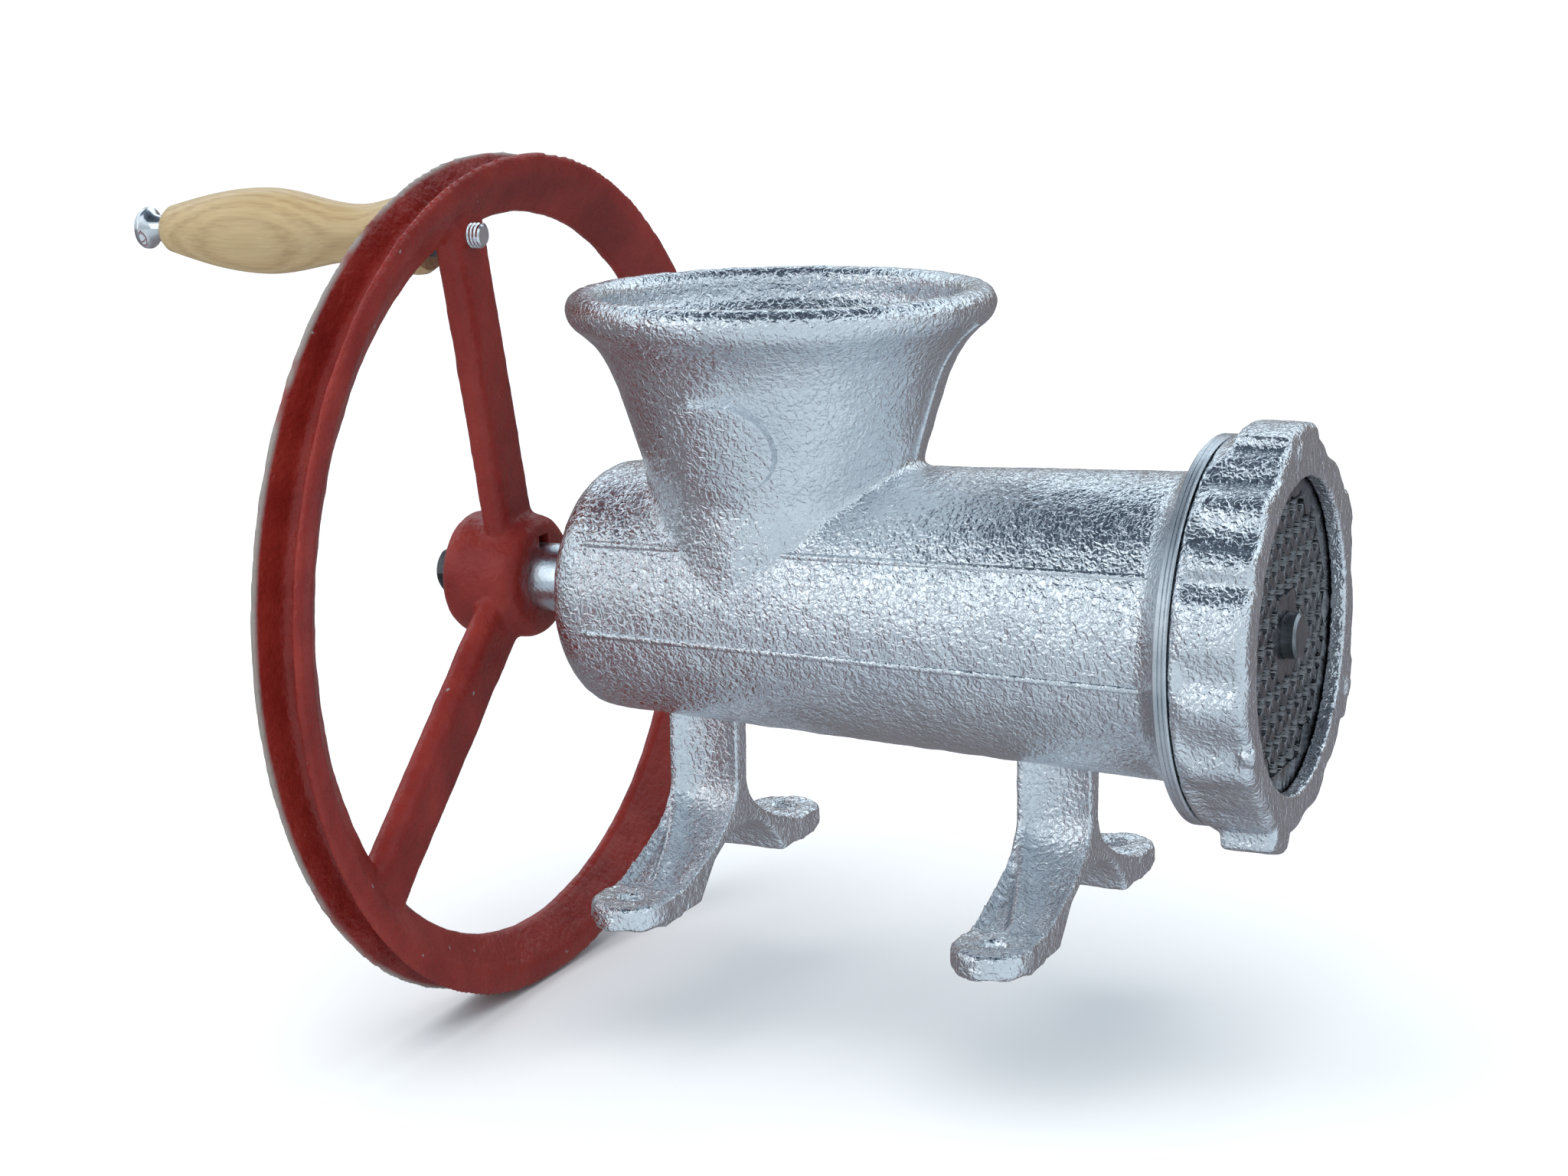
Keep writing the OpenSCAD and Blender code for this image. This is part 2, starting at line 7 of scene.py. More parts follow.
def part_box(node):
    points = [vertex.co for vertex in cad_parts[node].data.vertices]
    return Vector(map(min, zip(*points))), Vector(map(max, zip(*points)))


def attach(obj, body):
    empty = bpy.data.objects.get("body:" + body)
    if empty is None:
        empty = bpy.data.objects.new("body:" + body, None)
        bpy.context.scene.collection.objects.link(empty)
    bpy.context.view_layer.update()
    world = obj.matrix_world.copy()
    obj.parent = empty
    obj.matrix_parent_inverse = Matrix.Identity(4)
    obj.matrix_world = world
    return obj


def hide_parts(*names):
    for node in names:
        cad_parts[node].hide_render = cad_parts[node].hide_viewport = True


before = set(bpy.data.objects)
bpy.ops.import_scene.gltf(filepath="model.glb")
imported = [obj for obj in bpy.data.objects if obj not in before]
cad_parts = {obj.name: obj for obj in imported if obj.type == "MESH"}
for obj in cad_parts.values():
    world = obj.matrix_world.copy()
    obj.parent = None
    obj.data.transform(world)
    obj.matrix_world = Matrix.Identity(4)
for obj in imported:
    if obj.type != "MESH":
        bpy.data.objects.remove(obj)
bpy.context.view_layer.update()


# ---- Camera, floor and lights ----
# The grinder is seen from its front right, a little from above, on a plain pale floor before
# a pale backdrop. A bright band stands all round at eye height, and it is darker overhead.
camera_place = (0.356944, -0.806806, 0.285752)
camera_turn = math.radians(25.682)
camera_dip = math.radians(12.009)
camera_tilt = math.radians(-1.267)
camera_lens = bpy.data.cameras.new("camera")
camera_lens.lens = 67.72
camera = bpy.data.objects.new("camera", camera_lens)
bpy.context.scene.collection.objects.link(camera)
camera.matrix_world = (Matrix.Translation(camera_place) @ Matrix.Rotation(camera_turn, 4, "Z")
                       @ Matrix.Rotation(math.pi / 2 - camera_dip, 4, "X")
                       @ Matrix.Rotation(camera_tilt, 4, "Z"))
bpy.context.scene.camera = camera
bpy.context.scene.view_settings.view_transform = "Standard"

bpy.ops.object.select_all(action="DESELECT")
floor_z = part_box("wheel")[0].z - 0.0002
bpy.ops.mesh.primitive_plane_add(size=90, location=(0, 0, floor_z))
floor = bpy.context.object
floor.name = "floor"
floor_paint = bpy.data.materials.new("floor_paint")
floor_paint.use_nodes = True
floor_tree = floor_paint.node_tree
floor_shader = floor_tree.nodes["Principled BSDF"]
floor_shader.inputs["Base Color"].default_value = (0.88, 0.88, 0.88, 1)
floor_shader.inputs["Roughness"].default_value = 0.9
floor_shader.inputs["Specular IOR Level"].default_value = 0.0
floor.data.materials.append(floor_paint)
floor.visible_glossy = False

bpy.ops.object.select_all(action="DESELECT")
bpy.ops.mesh.primitive_uv_sphere_add(radius=8)
backdrop = bpy.context.object
backdrop.name = "backdrop"
backdrop.visible_diffuse = False
backdrop.visible_glossy = False
backdrop.visible_shadow = False
backdrop_paint = bpy.data.materials.new("backdrop_paint")
backdrop_paint.use_nodes = True
backdrop_glow = backdrop_paint.node_tree.nodes["Principled BSDF"]
backdrop_glow.inputs["Base Color"].default_value = (0, 0, 0, 1)
backdrop_glow.inputs["Emission Color"].default_value = (1, 1, 1, 1)
backdrop_glow.inputs["Emission Strength"].default_value = 1.0
backdrop.data.materials.append(backdrop_paint)


def colours(tree, factor, stops):
    """Runs through colours, given with their places between 0 and 1."""
    ramp = tree.nodes.new("ShaderNodeValToRGB")
    tree.links.new(factor, ramp.inputs["Fac"])
    for place, colour in stops[1:-1]:
        ramp.color_ramp.elements.new(place).color = (*colour, 1)
    for end, (place, colour) in ((0, stops[0]), (-1, stops[-1])):
        ramp.color_ramp.elements[end].position = place
        ramp.color_ramp.elements[end].color = (*colour, 1)
    return ramp.outputs["Color"]


def spread(tree, factor, low, high, start=0.3, end=0.7):
    """Stretches a pattern's values from start and end to low and high."""
    node = tree.nodes.new("ShaderNodeMapRange")
    tree.links.new(factor, node.inputs["Value"])
    node.inputs["From Min"].default_value = start
    node.inputs["From Max"].default_value = end
    node.inputs["To Min"].default_value = low
    node.inputs["To Max"].default_value = high
    return node.outputs["Result"]


def combine(tree, operation, first, second):
    """Works out one number from two patterns."""
    node = tree.nodes.new("ShaderNodeMath")
    node.operation = operation
    tree.links.new(first, node.inputs[0])
    tree.links.new(second, node.inputs[1])
    return node.outputs["Value"]


def mix_colours(tree, share, first, second):
    """Goes from the first colour to the second by a share. Either may be plain or a pattern."""
    node = tree.nodes.new("ShaderNodeMix")
    node.data_type = "RGBA"
    tree.links.new(share, node.inputs["Factor"])
    for socket, colour in ((node.inputs[6], first), (node.inputs[7], second)):
        if isinstance(colour, tuple):
            socket.default_value = (*colour, 1)
        else:
            tree.links.new(colour, socket)
    return node.outputs[2]


world = bpy.data.worlds.new("studio")
world.use_nodes = True
bpy.context.scene.world = world
sky = world.node_tree
sky_direction = sky.nodes.new("ShaderNodeTexCoord").outputs["Generated"]
sky_parts = sky.nodes.new("ShaderNodeSeparateXYZ")
sky.links.new(sky_direction, sky_parts.inputs["Vector"])
sky_height = sky_parts.outputs["Z"]
sky_depth = sky_parts.outputs["Y"]
high_colour = colours(sky, sky_height, [
    (0.0, (0.60, 0.68, 0.75)), (0.30, (0.72, 0.83, 0.90)), (0.48, (0.98, 1.12, 1.22)),
    (0.70, (0.90, 1.04, 1.14)), (0.78, (0.13, 0.17, 0.23)), (1.0, (0.04, 0.05, 0.07))])
# Below the horizon it is brighter towards the right and the front
low_side = sky.nodes.new("ShaderNodeVectorMath")
low_side.operation = "DOT_PRODUCT"
low_side.inputs[1].default_value = (0.6, -0.8, 0)
sky.links.new(sky_direction, low_side.inputs[0])
low_share = spread(sky, low_side.outputs["Value"], 0, 1, -0.5, 0.8)
low_colour = colours(sky, low_share, [
    (0.0, (0.18, 0.172, 0.185)), (0.38, (0.30, 0.31, 0.35)), (0.62, (0.56, 0.64, 0.72)),
    (1.0, (0.80, 0.93, 1.02))])
below_horizon = spread(sky, sky_height, 0, 1, 0.02, -0.14)
# The wall behind is dark up to shoulder height
wall_behind = spread(sky, sky_depth, 0, 1, 0.0, 0.45)
wall_low = spread(sky, sky_height, 1, 0, 0.24, 0.40)
wall_share = combine(sky, "MULTIPLY", wall_behind, wall_low)
wall_and_sky = mix_colours(sky, wall_share, high_colour, (0.19, 0.17, 0.17))
background = sky.nodes["Background"]
all_round = mix_colours(sky, below_horizon, wall_and_sky, low_colour)
sky.links.new(all_round, background.inputs["Color"])
# The wall in front is a little dimmer than the one behind
sky.links.new(spread(sky, sky_depth, 0.82, 1.2, -0.5, 0.5), background.inputs["Strength"])

sun_lamp = bpy.data.lights.new("overhead", "SUN")
sun_lamp.energy = 2.5
sun_lamp.angle = math.radians(70)
overhead = bpy.data.objects.new("overhead", sun_lamp)
bpy.context.scene.collection.objects.link(overhead)
overhead.matrix_world = Matrix.Rotation(math.radians(12), 4, "X")
overhead.visible_glossy = False
window_lamp = bpy.data.lights.new("window", "AREA")
window_lamp.size = 1.6
window_lamp.energy = 5
window = bpy.data.objects.new("window", window_lamp)
bpy.context.scene.collection.objects.link(window)
window_aim = Vector((1.3, 1.9, -0.7))
window.matrix_world = (Matrix.Translation((-1.3, -1.9, 0.9))
                       @ window_aim.to_track_quat("-Z", "Y").to_matrix().to_4x4())


# ---- Body casting ----
# Barrel, rear dome and collar, hopper and two foot brackets are one grey iron casting,
# rough from the sand mould and hot-dipped in tin, with bores that are turned afterwards.
def middle(node):
    """The middle of a CAD node's box."""
    low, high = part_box(node)
    return (low + high) / 2


def pick(piece):
    """Makes a piece the only one that is selected, and active."""
    bpy.ops.object.select_all(action="DESELECT")
    piece.select_set(True)
    bpy.context.view_layer.objects.active = piece


def trace(name, points):
    """Starts a piece as a chain of edges through these points, and leaves it in edit mode."""
    bpy.ops.object.select_all(action="DESELECT")
    bpy.ops.mesh.primitive_plane_add(size=0.01)
    piece = bpy.context.object
    piece.name = name
    piece.data.name = name
    bpy.ops.object.mode_set(mode="EDIT")
    bpy.ops.mesh.merge(type="CENTER")
    bpy.ops.transform.translate(value=Vector(points[0]))
    for start, end in zip(points, points[1:]):
        step = Vector(end) - Vector(start)
        bpy.ops.mesh.extrude_vertices_move(TRANSFORM_OT_translate={"value": step})
    bpy.ops.mesh.select_all(action="SELECT")
    return piece


doubled = 0.00001


def close_up():
    """Merges doubled points, turns all faces outwards and leaves edit mode."""
    bpy.ops.mesh.select_all(action="SELECT")
    bpy.ops.mesh.remove_doubles(threshold=doubled)
    bpy.ops.mesh.normals_make_consistent(inside=False)
    bpy.ops.object.mode_set(mode="OBJECT")


def turn(name, profile, centre, axis="X", steps=96):
    """Spins a profile of (place along the axis, radius) pairs into a turned solid."""
    if axis == "X":
        points = [(along, centre[1], centre[2] + radius) for along, radius in profile]
        direction = (1, 0, 0)
    else:
        points = [(centre[0] + radius, centre[1], along) for along, radius in profile]
        direction = (0, 0, 1)
    piece = trace(name, points)
    bpy.ops.mesh.spin(steps=steps, angle=math.tau, center=centre, axis=direction)
    close_up()
    return piece


def block(name, outline, depth):
    """Fills an outline of points and extrudes it by the vector depth into a closed block."""
    piece = trace(name, outline + [outline[0]])
    bpy.ops.mesh.remove_doubles(threshold=doubled)
    bpy.ops.mesh.edge_face_add()
    bpy.ops.mesh.extrude_region_move(TRANSFORM_OT_translate={"value": Vector(depth)})
    close_up()
    return piece


def finish_with(piece, kind, **settings):
    """Gives a piece one modifier with these settings, and applies it."""
    pick(piece)
    modifier = piece.modifiers.new(kind, kind)
    for setting, value in settings.items():
        setattr(modifier, setting, value)
    bpy.ops.object.modifier_apply(modifier=modifier.name)


def cut(piece, tool, operation="DIFFERENCE"):
    """Cuts a piece with a tool, or keeps what both fill, and removes the tool."""
    finish_with(piece, "BOOLEAN", object=tool, operation=operation, solver="EXACT")
    bpy.data.objects.remove(tool)


def join(piece, *others):
    """Joins other pieces into the first one."""
    pick(piece)
    for other in others:
        other.select_set(True)
    bpy.ops.object.join()
    return piece


def copy_of(piece, name):
    """Copies a piece together with its mesh."""
    twin = piece.copy()
    twin.data = piece.data.copy()
    twin.name = name
    twin.data.name = name
    bpy.context.scene.collection.objects.link(twin)
    return twin


def turn_about(piece, angle, centre, axis="X"):
    """Turns a piece's mesh about an axis through a centre."""
    centre = Vector(centre)
    turned_in_place = (Matrix.Translation(centre) @ Matrix.Rotation(angle, 4, axis)
                       @ Matrix.Translation(-centre))
    piece.data.transform(turned_in_place)


def fuse(piece, voxel, rounds=0):
    """Rebuilds a piece as one even skin, and softens it by rounds of smoothing."""
    finish_with(piece, "REMESH", mode="VOXEL", voxel_size=voxel)
    if rounds:
        finish_with(piece, "SMOOTH", factor=0.5, iterations=rounds)


def roughen(piece, name, size, height, **part):
    """Raises and sinks the surface in soft random lumps of this size and height."""
    lumps = bpy.data.textures.new(name, "CLOUDS")
    lumps.noise_scale = size
    lumps.noise_depth = 2
    finish_with(piece, "DISPLACE", texture=lumps, texture_coords="LOCAL", strength=height,
                mid_level=0.5, **part)


def round_edges(piece, width, segments, sharper_than=60):
    """Rounds the edges that are sharper than this many degrees."""
    finish_with(piece, "BEVEL", width=width, segments=segments, limit_method="ANGLE",
                angle_limit=math.radians(sharper_than))


axis_z = middle("perforated_plate").z
worm_axis = (0, 0, axis_z)
collar_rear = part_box("body_casting")[0].x
collar_front = collar_rear + 0.005
barrel_rear = collar_front + 0.014
barrel_front = 0.100
barrel_rear_r = 0.0393
barrel_front_r = 0.045
collar_r = 0.0195
flange_rear = 0.108
flange_r = 0.057


def barrel_r(x):
    """Outer radius of the barrel at a station along its axis."""
    share = (x - barrel_rear) / (barrel_front - barrel_rear)
    return barrel_rear_r + (barrel_front_r - barrel_rear_r) * share


dome = []
for i in range(11):
    angle = math.radians(9 * i)
    dome.append((collar_front + (barrel_rear - collar_front) * (1 - math.cos(angle)),
                 collar_r + (barrel_rear_r - collar_r) * math.sin(angle)))
neck = []
for i in range(1, 7):
    share = i / 6
    neck.append((barrel_front - 0.002 + (flange_rear - barrel_front + 0.002) * share,
                 barrel_front_r + (flange_r - 0.0008 - barrel_front_r) * share ** 1.7))
barrel_profile = ([(collar_rear, 0), (collar_rear, collar_r - 0.0012), (collar_rear + 0.0012, collar_r)]
                  + dome + neck + [(flange_rear, 0)])
casting = turn("casting", barrel_profile, worm_axis)

hopper_x = -0.030
hopper_axis = (hopper_x, 0, 0)
throat_r = 0.0403
rim_z = axis_z + 0.091
rim_r = 0.0606
bead_r = 0.0052
cone_z = axis_z + 0.034
flare_z = rim_z - 0.85 * bead_r
flare_r = rim_r + 0.78 * bead_r


def hopper_r(share, grow=0.0):
    """Outer radius of the hopper, a cone that turns out sharply under its rim."""
    return throat_r + grow + (flare_r - throat_r) * (0.65 * share + 0.35 * share ** 8)


def hopper_outside(grow=0.0):
    """The hopper's outer profile up to the bead on its rim."""
    profile = [(axis_z + 0.004, 0), (axis_z + 0.004, throat_r + grow)]
    for i in range(17):
        share = i / 16
        profile.append((cone_z + (flare_z - cone_z) * share, hopper_r(share, grow)))
    for i in range(-2, 15):
        angle = math.radians(15 * i)
        profile.append((rim_z + bead_r * math.sin(angle), rim_r + bead_r * math.cos(angle)))
    profile.append((rim_z, 0))
    return profile


hopper = turn("hopper", hopper_outside(), hopper_axis, "Z")

join(casting, hopper)
fuse(casting, 0.0014)

barrel_wall = 0.0055
bore_rear = collar_front + 0.020
chamber_rear = 0.1068
chamber_r = 0.0475
bore = turn("bore", [(bore_rear, 0), (bore_rear, barrel_r(bore_rear) - barrel_wall),
                     (chamber_rear, barrel_r(chamber_rear) - barrel_wall), (chamber_rear, chamber_r),
                     (0.112, chamber_r), (0.112, 0)], worm_axis)
bush_r = 0.01405
bush_hole = turn("bush_hole", [(collar_rear - 0.002, 0), (collar_rear - 0.002, bush_r),
                               (bore_rear + 0.001, bush_r), (bore_rear + 0.001, 0)], worm_axis)
hopper_wall = 0.0046
mouth_r = rim_r - 0.9 * bead_r
hopper_inside = [(axis_z + 0.008, 0), (axis_z + 0.008, throat_r - hopper_wall)]
for i in range(17):
    share = i / 16
    widening = 0.8 * share + 0.2 * share ** 8
    hopper_inside.append((cone_z + (flare_z - cone_z) * share,
                          throat_r - hopper_wall + (mouth_r - throat_r + hopper_wall) * widening))
hopper_inside += [(rim_z + 0.010, mouth_r), (rim_z + 0.010, 0)]
cut(casting, turn("hopper_hollow", hopper_inside, hopper_axis, "Z"))
cut(casting, bore)
fuse(casting, 0.00145, 4)
cut(casting, bush_hole)
groove = 0.0007
cut(casting, turn("collar_groove", [(collar_front - groove, collar_r + 0.0013),
                                    (collar_front, collar_r - 0.0008),
                                    (collar_front + groove, collar_r + 0.0013),
                                    (collar_front - groove, collar_r + 0.0013)], worm_axis))
roughen(casting, "sand_lumps", 0.007, 0.0007)

badge_z = axis_z + 0.053
badge_r = 0.013
badge_half = 0.005
badge_outline = []
for side in (1, -1):
    for i in range(13):
        angle = math.radians(side * 90 - 15 * i)
        badge_outline.append((hopper_x + side * badge_half + badge_r * math.cos(angle), -0.080,
                              badge_z + badge_r * math.sin(angle)))
badge = turn("badge", hopper_outside(0.0034), hopper_axis, "Z")
cut(badge, block("badge_edge", badge_outline, (0, 0.060, 0)), "INTERSECT")
cut(badge, turn("badge_back", hopper_outside(-0.0015), hopper_axis, "Z"))
round_edges(badge, 0.0009, 3)

seam = []
for i in range(15):
    share = i / 14
    seam.append((hopper_x + hopper_r(share) + 0.0006, -0.0008, cone_z + (flare_z - cone_z) * share))
seam += [(x - 0.0026, y, z) for x, y, z in reversed(seam)]
hopper_line = block("hopper_line", seam, (0, 0.0016, 0))
round_edges(hopper_line, 0.0005, 2)
rear_line = copy_of(hopper_line, "rear_line")
turn_about(rear_line, math.pi, hopper_axis, "Z")
join(casting, badge, hopper_line, rear_line)

line_r = 0.0012
line_length = barrel_front - barrel_rear - 0.002
taper = math.atan2(barrel_front_r - barrel_rear_r, barrel_front - barrel_rear)
half_x = (barrel_rear + barrel_front) / 2 + 0.001
lift = barrel_r(half_x) - 0.0001
for angle in (150.4, 191.5, 29.6, 348.5):
    bpy.ops.object.select_all(action="DESELECT")
    bpy.ops.mesh.primitive_cylinder_add(vertices=12, radius=line_r, depth=line_length,
                                        rotation=(0, math.pi / 2, 0))
    line = bpy.context.object
    bpy.ops.object.transform_apply()
    round_edges(line, 0.0007, 2)
    line.data.transform(Matrix.Translation((half_x, lift, 0)) @ Matrix.Rotation(taper, 4, "Z"))
    line.data.transform(Matrix.Translation(worm_axis) @ Matrix.Rotation(math.radians(angle), 4, "X"))
    join(casting, line)
pick(casting)
bpy.ops.object.shade_smooth()


def new_finish(name, metallic):
    """Starts a material: its node tree, its shader and the piece's own coordinates."""
    material = bpy.data.materials.new(name)
    material.use_nodes = True
    tree = material.node_tree
    shader = tree.nodes["Principled BSDF"]
    shader.inputs["Metallic"].default_value = metallic
    return material, tree, shader, tree.nodes.new("ShaderNodeTexCoord").outputs["Object"]


def noise(tree, where, scale, detail=2.0, distortion=0.0):
    """A random pattern with this many waves to the metre."""
    node = tree.nodes.new("ShaderNodeTexNoise")
    tree.links.new(where, node.inputs["Vector"])
    node.inputs["Scale"].default_value = scale
    node.inputs["Detail"].default_value = detail
    node.inputs["Distortion"].default_value = distortion
    return node.outputs["Fac"]


def add_bump(tree, shader, height, depth, strength=1.0):
    """Raises the surface by a pattern, on top of the bumps that it has already."""
    node = tree.nodes.new("ShaderNodeBump")
    node.inputs["Distance"].default_value = depth
    node.inputs["Strength"].default_value = strength
    tree.links.new(height, node.inputs["Height"])
    below = [link.from_socket for link in shader.inputs["Normal"].links]
    if below:
        tree.links.new(below[0], node.inputs["Normal"])
    tree.links.new(node.outputs["Normal"], shader.inputs["Normal"])


tinned, tree, shader, where = new_finish("tinned_iron", 1.0)
patches = noise(tree, where, 45, 3)
grain = noise(tree, where, 600, 1, 0.9)
tree.links.new(colours(tree, patches, [(0.3, (0.74, 0.77, 0.81)), (0.7, (0.84, 0.87, 0.90))]),
               shader.inputs["Base Color"])
tree.links.new(spread(tree, grain, 0.15, 0.29), shader.inputs["Roughness"])
add_bump(tree, shader, noise(tree, where, 260, 1), 0.0004, 0.5)
add_bump(tree, shader, grain, 0.00068, 1.0)
casting.data.materials.append(tinned)
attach(casting, "housing")
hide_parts("body_casting")


# ---- Threaded head ----
# The front end of the same casting, turned bright: a plain flange that the nut stops at,
# and three turns of coarse thread in front of it.
def helix(name, profile, lead, turns, centre, steps=72):
    """Winds a closed profile of (place along the axis, radius) pairs about an X axis."""
    piece = trace(name, [(along, 0, radius) for along, radius in profile + [profile[0]]])
    close_up()
    finish_with(piece, "SCREW", axis="X", angle=math.tau, screw_offset=lead, iterations=turns,
                steps=steps, render_steps=steps)
    pick(piece)
    bpy.ops.object.mode_set(mode="EDIT")
    bpy.ops.mesh.select_all(action="SELECT")
    bpy.ops.mesh.remove_doubles(threshold=doubled)
    bpy.ops.mesh.select_all(action="DESELECT")
    bpy.ops.mesh.select_non_manifold(extend=False)
    bpy.ops.mesh.fill_holes(sides=0)
    bpy.ops.mesh.select_all(action="SELECT")
    bpy.ops.transform.translate(value=centre)
    close_up()
    return piece


head_bore_r = 0.0498
thread_root_r = 0.0522
thread_crest_r = 0.0533
head_front = 0.1269
head_rear = 0.1070
flange_front = 0.1112
head_profile = [
    (head_rear, head_bore_r), (head_rear, flange_r - 0.0006), (0.1076, flange_r), (0.1087, flange_r),
    (0.1089, flange_r - 0.0004), (0.1091, flange_r), (0.1099, flange_r), (0.1101, flange_r - 0.0004),
    (0.1103, flange_r), (0.1108, flange_r), (flange_front, flange_r - 0.0005),
    (flange_front, thread_root_r), (head_front - 0.0006, thread_root_r),
    (head_front, thread_root_r - 0.0006), (head_front, head_bore_r + 0.0006),
    (head_front - 0.0006, head_bore_r), (head_rear, head_bore_r)]
head = turn("threaded_head", head_profile, worm_axis, steps=144)
thread_foot_r = thread_root_r - 0.0003
thread_lead = 0.004
thread = helix("thread", [(0.1113, thread_foot_r), (0.1124, thread_crest_r), (0.1132, thread_crest_r),
                          (0.1143, thread_foot_r)], thread_lead, 3, worm_axis)
join(head, thread)
bpy.ops.object.shade_smooth_by_angle(angle=math.radians(35))
turned, tree, shader, where = new_finish("turned_iron", 1.0)
lathe_lines = tree.nodes.new("ShaderNodeTexWave")
lathe_lines.bands_direction = "X"
lathe_lines.inputs["Scale"].default_value = 1400
lathe_lines.inputs["Distortion"].default_value = 1.5
tree.links.new(where, lathe_lines.inputs["Vector"])
lathe_colour = colours(tree, noise(tree, where, 90, 3), [(0.3, (0.60, 0.64, 0.68)),
                                                         (0.7, (0.80, 0.83, 0.86))])
tree.links.new(lathe_colour, shader.inputs["Base Color"])
tree.links.new(spread(tree, noise(tree, where, 500), 0.2, 0.4), shader.inputs["Roughness"])
add_bump(tree, shader, lathe_lines.outputs["Fac"], 0.00006, 0.5)
head.data.materials.append(turned)
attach(head, "housing")
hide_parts("body_casting")


# ---- Foot brackets ----
# Two arched brackets stand under the barrel, part of the same casting. Each has a scooped
# column and legs with a rib along the rear edge, and a round pad with a bolt hole at each end.
foot_x = 0.059
foot_y = 0.054
foot_r = 0.012
pad_top = 0.008
arch_top = 0.017
arch_r = 0.0341
leg_top = [(0.0043, 0.062), (0.0043, 0.031), (0.0052, 0.0275), (0.008, 0.024), (0.013, 0.0205),
           (0.020, 0.0165), (0.033, 0.0118), (0.042, 0.0088), (0.050, 0.0080)]
leg_outline = [(-foot_r, 0, 0.062)] + [(-foot_r, y, z) for y, z in leg_top] + [(-foot_r, 0.050, 0)]
for i in range(9):
    y = 0.0295 * (1 - i / 8)
    leg_outline.append((-foot_r, y, arch_top - arch_r + math.sqrt(arch_r ** 2 - y ** 2)))
leg = block("leg", leg_outline, (2 * foot_r, 0, 0))
fuse(leg, 0.001)


def rise(value, start, run):
    """Rises from 0 to 1 as the value goes from start over this run, and stays there."""
    return min(1, max(0, (value - start) / run))


def rib_x(y):
    """Where the rib along the leg runs, from the rear edge towards the middle of the pad."""
    return -0.0098 + 0.0108 * rise(y, 0.006, 0.034) ** 0.8


scoop_depth = 0.0029
scoop_start = 0.002
scoop_end = 0.046
scoop_front = 0.0104
rib_half = 0.0012
rear_drop = 0.0040
rear_run = 0.0014
outward = [point.normal.copy() for point in leg.data.vertices]
for point, normal in zip(leg.data.vertices, outward):
    x, y, z = point.co
    on_top = normal.y + normal.z > 0.5 and abs(normal.x) < 0.75
    if on_top and scoop_start < y < scoop_end:
        rib = rib_x(y)
        across = rise(x - rib, rib_half, scoop_front - rib)
        scoop = max(0, math.sin(math.pi * across ** 0.8)) ** 0.5 * scoop_depth
        behind = rise(rib - rear_run - x, 0, rear_run) * rear_drop * rise(y, 0.007, 0.006)
        point.co -= normal * (scoop + behind) * rise(scoop_end - y, 0, 0.008)
bpy.ops.object.select_all(action="DESELECT")
bpy.ops.mesh.primitive_cylinder_add(vertices=48, radius=foot_r, depth=pad_top,
                                    location=(0, foot_y, pad_top / 2))
pad = bpy.context.object
bpy.ops.object.transform_apply()
round_edges(pad, 0.002, 3, 30)
pad_block = block("pad_block", [(-foot_r, 0.043, 0), (foot_r, 0.043, 0), (foot_r, foot_y, 0),
                                (-foot_r, foot_y, 0)], (0, 0, pad_top - 0.0004))
join(leg, pad, pad_block)
far_leg = copy_of(leg, "far_leg")
pick(far_leg)
bpy.ops.object.mode_set(mode="EDIT")
bpy.ops.mesh.select_all(action="SELECT")
bpy.ops.transform.mirror(constraint_axis=(False, True, False), orient_type="GLOBAL",
                         center_override=(0, 0, 0))
bpy.ops.mesh.flip_normals()
bpy.ops.object.mode_set(mode="OBJECT")
join(leg, far_leg)
leg.name = "foot_brackets"
leg.data.name = "foot_brackets"
fuse(leg, 0.00095, 2)
pads = leg.vertex_groups.new(name="pads")
pads_reach = 0.012
for point in leg.data.vertices:
    if point.co.z < pads_reach and abs(point.co.y) > 0.040:
        pads.add([point.index], rise(pads_reach - point.co.z, 0, 0.004), "REPLACE")
roughen(leg, "pad_lumps", 0.005, 0.0016, vertex_group="pads")
roughen(leg, "leg_lumps", 0.007, 0.0006)
for side_y in (-foot_y, foot_y):
    bpy.ops.object.select_all(action="DESELECT")
    bpy.ops.mesh.primitive_cylinder_add(vertices=32, radius=0.0045, depth=0.03, location=(0, side_y, 0))
    drill = bpy.context.object
    bpy.ops.object.transform_apply()
    cut(leg, drill)
rear_leg = copy_of(leg, "rear_leg")
leg.data.transform(Matrix.Translation((foot_x, 0, 0)))
rear_leg.data.transform(Matrix.Translation((-foot_x, 0, 0)))
join(leg, rear_leg)
sunk = 0.003
cut(leg, turn("barrel_core", [(barrel_rear, 0), (barrel_rear, barrel_rear_r - sunk),
                              (barrel_front, barrel_front_r - sunk), (barrel_front, 0)], worm_axis))
pick(leg)
bpy.ops.object.shade_smooth()
leg.data.materials.append(tinned)
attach(leg, "housing")
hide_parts("body_casting")


# ---- Bush and key pin ----
# A bronze bush is pressed into the rear collar, and a steel pin in the head's bore keeps
# the plate from turning.
def give(node, material):
    """Gives a CAD node its finish in place of its plain colour."""
    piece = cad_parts[node]
    piece.data.materials.clear()
    piece.data.materials.append(material)
    for face in piece.data.polygons:
        face.material_index = 0


def plain_metal(name, dark, light, rough, grain_scale=400, depth=0.00006):
    """A worked metal with uneven colour, uneven gloss and fine marks."""
    material, tree, shader, where = new_finish(name, 1.0)
    tree.links.new(colours(tree, noise(tree, where, 150, 3), [(0.3, dark), (0.7, light)]),
                   shader.inputs["Base Color"])
    gloss = spread(tree, noise(tree, where, 260), rough - 0.08, rough + 0.1)
    tree.links.new(gloss, shader.inputs["Roughness"])
    add_bump(tree, shader, noise(tree, where, grain_scale, 4), depth)
    return material


